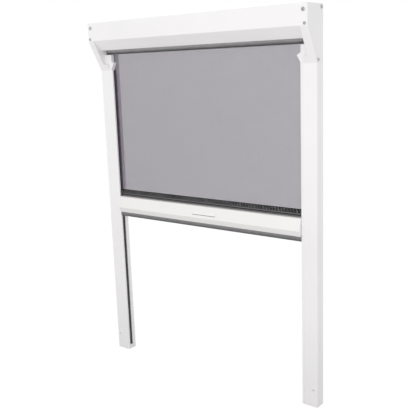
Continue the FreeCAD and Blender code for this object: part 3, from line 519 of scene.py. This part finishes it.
roll_low, roll_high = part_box("net_roll")
axis_y = (roll_low.y + roll_high.y) / 2
axis_z = (roll_low.z + roll_high.z) / 2
roll_outer = (roll_high.z - roll_low.z) / 2
tube_low, tube_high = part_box("roller_tube")
tube_outer = (tube_high.z - tube_low.z) / 2


def on_roller(x, angle, radius):
    """A point at an angle round the roller's axis."""
    return Vector((x, axis_y + radius * math.cos(angle), axis_z + radius * math.sin(angle)))


winding = Stock()
rings = []
spiral_start = tube_outer + WOUND_CLEAR
spiral_rise = roll_outer - WOUND_THICK - spiral_start
slices = round(WOUND_TURNS * WOUND_SLICES)
for number in range(slices + 1):
    angle = 2 * math.pi * number / WOUND_SLICES
    radius = spiral_start + spiral_rise * number / slices
    rings.append([
        on_roller(roll_low.x, angle, radius),
        on_roller(roll_low.x, angle, radius + WOUND_THICK),
        on_roller(roll_high.x, angle, radius + WOUND_THICK),
        on_roller(roll_high.x, angle, radius),
    ])
winding.loft(rings)
wound_net = winding.made("wound_net", wound_thread)
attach(wound_net, "roller")
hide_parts("net_roll")


# Hem: a woven tape with slanting ribs over its upper part, tucked into the pull bar

RIB_PITCH = 6.3 * MM
RIB_NARROWEST = 0.6 * MM
RIB_WIDEST = 1.7 * MM
RIB_PROUD = 0.12 * MM
RIB_SLANT = 1.4 * MM
RIB_BREAK = 0.3 * MM
RIB_MARGIN = 6.0 * MM
LINE_HALF = 0.5 * MM
TAPE_HALF = 0.4 * MM
# Heights of the rows of ribs and of the lines, in millimetres
RIB_ROWS = (352.6, 355.8, 359.0)
PALE_LINES = (346.4, 347.4, 350.3, 351.4)
DARK_LINES = (348.8, 359.4)
TUCK_ABOVE = 0.3 * MM
TUCK_BESIDE = 0.3 * MM

hem_low, hem_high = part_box("net_hem")
hem_middle = (hem_low.y + hem_high.y) / 2
bar_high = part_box("pull_bar")[1]
tuck_x = bar_high.x - TUCK_BESIDE
tape = Stock()
tape.box(
    (hem_low.x, hem_middle - TAPE_HALF, bar_high.z + TUCK_ABOVE),
    (hem_high.x, hem_middle + TAPE_HALF, hem_high.z),
)
tape.box(
    (-tuck_x, hem_middle - TAPE_HALF, hem_low.z),
    (tuck_x, hem_middle + TAPE_HALF, bar_high.z + TUCK_ABOVE),
)
for face in (-1, 1):
    skin = hem_middle + face * TAPE_HALF
    for row, (low, high) in enumerate(zip(RIB_ROWS, RIB_ROWS[1:])):
        shift = RIB_SLANT * (1 - row)
        for x in steps(hem_low.x + RIB_MARGIN, hem_high.x - RIB_MARGIN, RIB_PITCH):
            start = Vector((x + shift, skin, low * MM + RIB_BREAK))
            end = Vector((x + shift - RIB_SLANT, skin, high * MM - RIB_BREAK))
            half = dice.uniform(RIB_NARROWEST, RIB_WIDEST)
            tape.strand(start, end, X * half, Y * RIB_PROUD, kind=1)
    for height in PALE_LINES + DARK_LINES:
        start = Vector((hem_low.x, skin, height * MM))
        end = Vector((hem_high.x, skin, height * MM))
        kind = 1 if height in PALE_LINES else 0
        tape.strand(start, end, Z * LINE_HALF, Y * RIB_PROUD, kind=kind)
hem_tape = tape.made("hem_tape", tape_ground, tape_thread)
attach(hem_tape, "pull_bar")
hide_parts("net_hem")


# Pile brushes: a backing strip, a thin film down its middle, and rows of bristles

HAIR_PITCH = 0.85 * MM
HAIR_HALF = 0.3 * MM
HAIR_WOBBLE = 0.3 * MM
HAIR_MARGIN = 0.3 * MM
BACKING_THICK = 1.1 * MM
BACKING_WIDTH = 4.4 * MM
FILM_HALF = 0.15 * MM
PILE_HALF = 0.85 * MM
PILE_SPREAD = 1.25
BESIDE = (-1.0, -0.33, 0.33, 1.0)
RAIL_PILE_END = 0.2 * MM
RAIL_FILM_SHARE = 0.75


def wobble():
    """A small random step either way."""
    return dice.uniform(-HAIR_WOBBLE, HAIR_WOBBLE)


def brush(stock, name, fibre, start, run, rows):
    """Bristles along a run; each row has the foot and the tip of its bristles."""
    for distance in steps(0, run.length, HAIR_PITCH):
        along = start + run.normalized() * distance
        for foot, tip in rows:
            shift = Vector((wobble(), wobble(), wobble()))
            stock.hair(along + foot, along + tip + shift, HAIR_HALF)
    piece = stock.made(name, fibre, dark_backing_and_painted_shade)
    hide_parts(name.replace("_bristles", ""))
    return piece


for side in ("left", "right"):
    for facing, name in ((-1, "front"), (1, "rear")):
        node = f"rail_brush_{name}_{side}"
        low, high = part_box(node)
        middle = (low.x + high.x) / 2
        outer, tip = (low.y, high.y) if facing < 0 else (high.y, low.y)
        skin = outer - facing * BACKING_THICK
        rows = []
        for beside in BESIDE:
            spread = X * beside * PILE_HALF
            rows.append((spread + Y * skin, spread + Y * (tip + facing * RAIL_PILE_END)))
        film_tip = skin + (tip - skin) * RAIL_FILM_SHARE
        strip = Stock()
        strip.box(
            (low.x, min(outer, skin), low.z),
            (high.x, max(outer, skin), high.z),
            kind=1,
        )
        strip.box(
            (middle - FILM_HALF, min(skin, film_tip), low.z),
            (middle + FILM_HALF, max(skin, film_tip), high.z),
            kind=1,
        )
        start = Vector((middle, 0, low.z + HAIR_MARGIN))
        run = Z * (high.z - low.z - 2 * HAIR_MARGIN)
        bristles = brush(strip, f"{node}_bristles", pile_fibre, start, run, rows)
        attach(bristles, "frame")


def hanging_bristles(node, body, fibre, pile_end, film_end):
    """A brush in a groove that looks down; its pile and its film end so far above the tip."""
    low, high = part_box(node)
    middle = low.y + BACKING_WIDTH / 2
    sweep = max(0.0, high.y - low.y - BACKING_WIDTH - PILE_HALF)
    shoulder = high.z - BACKING_THICK
    strip = Stock()
    strip.box((low.x, low.y, shoulder), (high.x, low.y + BACKING_WIDTH, high.z), kind=1)

    def spine(z):
        """The middle of the pile at a height."""
        share = (shoulder - z) / (shoulder - low.z)
        return Y * (middle + sweep * share) + Z * z

    film = []
    thick = Y * FILM_HALF
    for x in (low.x, high.x):
        top, tip = spine(shoulder) + X * x, spine(low.z + film_end) + X * x
        film.append([top - thick, top + thick, tip + thick, tip - thick])
    strip.loft(film, kind=1)
    rows = []
    for beside in BESIDE:
        spread = Y * beside * PILE_HALF
        tip = spine(low.z + pile_end) + spread * PILE_SPREAD
        rows.append((spine(shoulder) + spread, tip))
    start = Vector((low.x + HAIR_MARGIN, 0, 0))
    run = X * (high.x - low.x - 2 * HAIR_MARGIN)
    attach(brush(strip, f"{node}_bristles", fibre, start, run, rows), body)


hanging_bristles("bar_brush", "pull_bar", grey_pile_fibre, pile_end=0.1 * MM, film_end=0.1 * MM)
# On the exit brush the dark film reaches 1.8 mm below the pale pile, a dark line painted as the
# shade under the brush.
hanging_bristles("exit_brush", "frame", pale_pile_fibre, pile_end=1.9 * MM, film_end=0.1 * MM)


# Torsion spring, as smooth round wire

SPRING_TURNS = 11
SPRING_SLICES = 40
SOLID_WIRE = 0.7 * MM
WIRE = 0.65 * MM
WIRE_SIDES = 8

low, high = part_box("torsion_spring")
reach = (high.z - low.z) / 2 - SOLID_WIRE
rings = []
for number in range(SPRING_TURNS * SPRING_SLICES + 1):
    angle = 2 * math.pi * number / SPRING_SLICES
    share = number / (SPRING_TURNS * SPRING_SLICES)
    x = low.x + WIRE + (high.x - low.x - 2 * WIRE) * share
    centre = on_roller(x, angle, reach)
    outward = (centre - Vector((x, axis_y, axis_z))).normalized()
    rings.append(circle(centre, outward, X, WIRE, WIRE_SIDES))
coil = Stock()
coil.loft(rings)
wound_spring = coil.made("wound_spring", spring_steel, smooth=True)
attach(wound_spring, "roller")
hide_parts("torsion_spring")


# Screws with a domed head and a cross recess

HEAD_SIDES = 28
HEAD_HEIGHT = 1.5 * MM
SHANK_RADIUS = 1.5 * MM
SHANK_LENGTH = 10.0 * MM
SHANK_POINT = 0.4
SHANK_FULL = 0.9
RECESS_DEPTH = 1.0 * MM
# Rise and radius of each ring, as shares of the head's height and radius
HEAD_RINGS = ((0.0, 1.0), (0.35, 1.0), (0.7, 0.93), (0.92, 0.75), (1.0, 0.5))
# Way from the crown in recess depths, then half length and half width in head radii
RECESS_RINGS = ((-1, 0.217, 0.11592), (1, 0.775, 0.1548))
# Centre and radius of each head in millimetres; None is where it lies on the cap's face
SCREWS = {
    "face": ((242.3, None, 690.0), 3.4),
    "low": ((244.7, None, 668.5), 2.6),
    "port": ((None, 19.9, 695.0), 3.4),
    "leg": ((None, 9.0, 612.0), 2.6),
}


def screw_rings(place, outward, radius):
    """Rings of the shank and head, from the shank's end to the crown."""
    side = outward.orthogonal().normalized()
    other = outward.cross(side)
    profile = [
        (-SHANK_LENGTH, SHANK_RADIUS * SHANK_POINT),
        (-SHANK_LENGTH * SHANK_FULL, SHANK_RADIUS),
        (0, SHANK_RADIUS),
    ]
    profile.extend((HEAD_HEIGHT * rise, radius * share) for rise, share in HEAD_RINGS)
    return [
        circle(place + outward * height, side, other, reach, HEAD_SIDES)
        for height, reach in profile
    ]


def cut_cross(stock, place, outward, radius):
    """Two crossed wedges that cut the recess of a head."""
    side = outward.orthogonal().normalized()
    turned = (side + outward.cross(side)).normalized()
    for heading in (turned, outward.cross(turned)):
        across = outward.cross(heading)
        rings = []
        for depth, half_length, half_width in RECESS_RINGS:
            centre = place + outward * (HEAD_HEIGHT + RECESS_DEPTH * depth)
            long = heading * radius * half_length
            wide = across * radius * half_width
            rings.append([
                centre + long + wide,
                centre - long + wide,
                centre - long - wide,
                centre + long - wide,
            ])
        stock.loft(rings)


cap_low, cap_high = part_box("end_cap_right")
heads = Stock()
cutters = Stock()
for side in (1, -1):
    for (x, y, z), radius in SCREWS.values():
        if x is None:
            place, outward = Vector((side * cap_high.x, y * MM, z * MM)), X * side
        else:
            place, outward = Vector((side * x * MM, cap_low.y, z * MM)), -Y
        heads.loft(screw_rings(place, outward, radius * MM))
        cut_cross(cutters, place, outward, radius * MM)
screw_heads = heads.made("screw_heads", zinc_steel)
recess = cutters.made("recess", zinc_steel)
sink = screw_heads.modifiers.new("cross recess", "BOOLEAN")
sink.object = recess
sink.operation = "DIFFERENCE"
sink.solver = "EXACT"
sink.use_self = True
bpy.context.view_layer.update()
finished = screw_heads.evaluated_get(bpy.context.evaluated_depsgraph_get())
cut_mesh = bpy.data.meshes.new_from_object(finished)
screw_heads.modifiers.clear()
screw_heads.data = cut_mesh
bpy.data.objects.remove(recess)
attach(screw_heads, "frame")
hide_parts("cap_screws")


# Cover caps in the access holes of the fixing screws, low on each rail, each with the painted
# shade of a slanted coin slot

CAP_X = 242.3 * MM
CAP_Z = 33.0 * MM
# Rise and radius of each ring, in millimetres
CAP_RINGS = ((-1.2, 3.0), (0.0, 3.0), (0.0, 3.9), (0.35, 3.8), (0.7, 3.1), (0.85, 1.6))
COIN_SLOT_SHADE_HALF = Vector((1.6, 0, 2.4)) * MM
COIN_SLOT_SHADE_WIDE = 0.28 * MM
COIN_SLOT_SHADE_PROUD = 0.05 * MM

rail_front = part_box("guide_rail_right")[0].y
caps = Stock()
for side in (1, -1):
    rings = []
    for rise, reach in CAP_RINGS:
        centre = Vector((side * CAP_X, rail_front - rise * MM, CAP_Z))
        rings.append(circle(centre, X, Z, reach * MM, HEAD_SIDES))
    caps.loft(rings)
    crown = centre
    # The coin slot is no recess: a dark strip just proud of the crown is the slot's painted
    # shade.
    across = COIN_SLOT_SHADE_HALF.cross(Y).normalized() * COIN_SLOT_SHADE_WIDE
    start, end = crown - COIN_SLOT_SHADE_HALF, crown + COIN_SLOT_SHADE_HALF
    caps.strand(start, end, across, Y * COIN_SLOT_SHADE_PROUD, kind=1)
cover_caps = caps.made("cover_caps", moulded_plastic, grey_plastic_and_painted_shade)
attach(cover_caps, "frame")


# Painted shade below the grip's lip: a thin dark grey strip on the sloped front of the bar,
# where the lip's shadow falls

SHADE_STRIP_HALF = 0.75 * MM
SHADE_STRIP_PROUD = 0.1 * MM
SHADE_STRIP_SHORT = 0.4 * MM
LIP_REACH = 2.2 * MM
NOSE_REACH = 7.0
NOSE_DROP = 22.0
FRONT_SLOPE = Vector((0, NOSE_REACH, NOSE_DROP)).normalized()
FRONT_OUTWARD = Vector((0, -NOSE_DROP, NOSE_REACH)).normalized()

grip_low, grip_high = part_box("grip")
lip_foot = Vector((0, grip_low.y + LIP_REACH, grip_low.z)) - FRONT_SLOPE * SHADE_STRIP_HALF
shade_strip = Stock()
shade_strip.strand(
    lip_foot + X * (grip_low.x + SHADE_STRIP_SHORT), lip_foot + X * (grip_high.x - SHADE_STRIP_SHORT),
    FRONT_SLOPE * SHADE_STRIP_HALF, FRONT_OUTWARD * SHADE_STRIP_PROUD,
)
grip_shade_strip = shade_strip.made("grip_shade_strip", grey_plastic_and_painted_shade)
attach(grip_shade_strip, "pull_bar")


# Floor, world and lamp

FLOOR_HALF = 1.25
FLOOR_THICK = 0.02
FLOOR_TONE = {"From Min": 0.25, "From Max": 1.3, "To Min": 0.54, "To Max": 0.98}
CATCHER_TONE = 0.13
FLOOR_GLOW = 0.885
ROOM_LIGHT = 0.88
KEY_PLACE = Vector((0.6, -1.6, 0.9))
KEY_AIM = Vector((0, 0, 0.4))
KEY_SIZE = 1.2
KEY_POWER = 8.0

floor_stock = Stock()
floor_stock.box((-FLOOR_HALF, -FLOOR_HALF, -FLOOR_THICK), (FLOOR_HALF, FLOOR_HALF, 0.0))


def seen_directly(tree, spot):
    """One where a ray comes from the camera, a mirror or clear glass."""
    path = add(tree, "ShaderNodeLightPath", spot)
    either = add(tree, "ShaderNodeMath", (spot[0] + 200, spot[1]), operation="MAXIMUM")
    any_of = add(tree, "ShaderNodeMath", (spot[0] + 400, spot[1]), operation="MAXIMUM")
    tree.links.new(path.outputs["Is Camera Ray"], either.inputs[0])
    tree.links.new(path.outputs["Is Glossy Ray"], either.inputs[1])
    tree.links.new(either.outputs["Value"], any_of.inputs[0])
    tree.links.new(path.outputs["Is Transmission Ray"], any_of.inputs[1])
    return any_of.outputs["Value"]


pale_floor = bpy.data.materials.new("pale floor")
pale_floor.use_nodes = True
tree = pale_floor.node_tree
tree.nodes.clear()
bounce = add(tree, "ShaderNodeBsdfDiffuse", (0, 200))
floor_point = add(tree, "ShaderNodeTexCoord", (-800, 0))
distance = add(tree, "ShaderNodeVectorMath", (-600, 0), operation="LENGTH")
tone = add(tree, "ShaderNodeMapRange", (-400, 0))
for socket, number in FLOOR_TONE.items():
    tone.inputs[socket].default_value = number
tree.links.new(floor_point.outputs["Object"], distance.inputs[0])
tree.links.new(distance.outputs["Value"], tone.inputs["Value"])
tree.links.new(tone.outputs["Result"], bounce.inputs["Color"])
catcher = add(tree, "ShaderNodeBsdfDiffuse", (0, 0))
catcher.inputs["Color"].default_value = (CATCHER_TONE, CATCHER_TONE, CATCHER_TONE, 1)
glow = add(tree, "ShaderNodeEmission", (0, -200))
glow.inputs["Strength"].default_value = FLOOR_GLOW
shadowed_glow = add(tree, "ShaderNodeAddShader", (200, -100))
choice = add(tree, "ShaderNodeMixShader", (400, 100))
out = add(tree, "ShaderNodeOutputMaterial", (600, 100))
tree.links.new(seen_directly(tree, (-600, 400)), choice.inputs["Fac"])
tree.links.new(bounce.outputs["BSDF"], choice.inputs[1])
tree.links.new(catcher.outputs["BSDF"], shadowed_glow.inputs[0])
tree.links.new(glow.outputs["Emission"], shadowed_glow.inputs[1])
tree.links.new(shadowed_glow.outputs["Shader"], choice.inputs[2])
tree.links.new(choice.outputs["Shader"], out.inputs["Surface"])
floor = floor_stock.made("floor", pale_floor)

world = bpy.data.worlds.new("white room")
bpy.context.scene.world = world
world.use_nodes = True
tree = world.node_tree
tree.nodes.clear()
backdrop = add(tree, "ShaderNodeBackground", (0, 0))
backdrop.inputs["Color"].default_value = (1, 1, 1, 1)
room = add(tree, "ShaderNodeBackground", (0, 200))
room.inputs["Color"].default_value = (1, 1, 1, 1)
room.inputs["Strength"].default_value = ROOM_LIGHT
choice = add(tree, "ShaderNodeMixShader", (300, 100))
out = add(tree, "ShaderNodeOutputWorld", (500, 100))
tree.links.new(seen_directly(tree, (-600, 400)), choice.inputs["Fac"])
tree.links.new(room.outputs["Background"], choice.inputs[1])
tree.links.new(backdrop.outputs["Background"], choice.inputs[2])
tree.links.new(choice.outputs["Shader"], out.inputs["Surface"])

key_lamp = bpy.data.lights.new("key lamp", "AREA")
key_lamp.size = KEY_SIZE
key_lamp.energy = KEY_POWER
key = bpy.data.objects.new("key lamp", key_lamp)
key.location = KEY_PLACE
key.rotation_euler = (KEY_AIM - KEY_PLACE).to_track_quat("-Z", "Y").to_euler()
bpy.context.scene.collection.objects.link(key)

bpy.context.scene.view_settings.view_transform = "Standard"
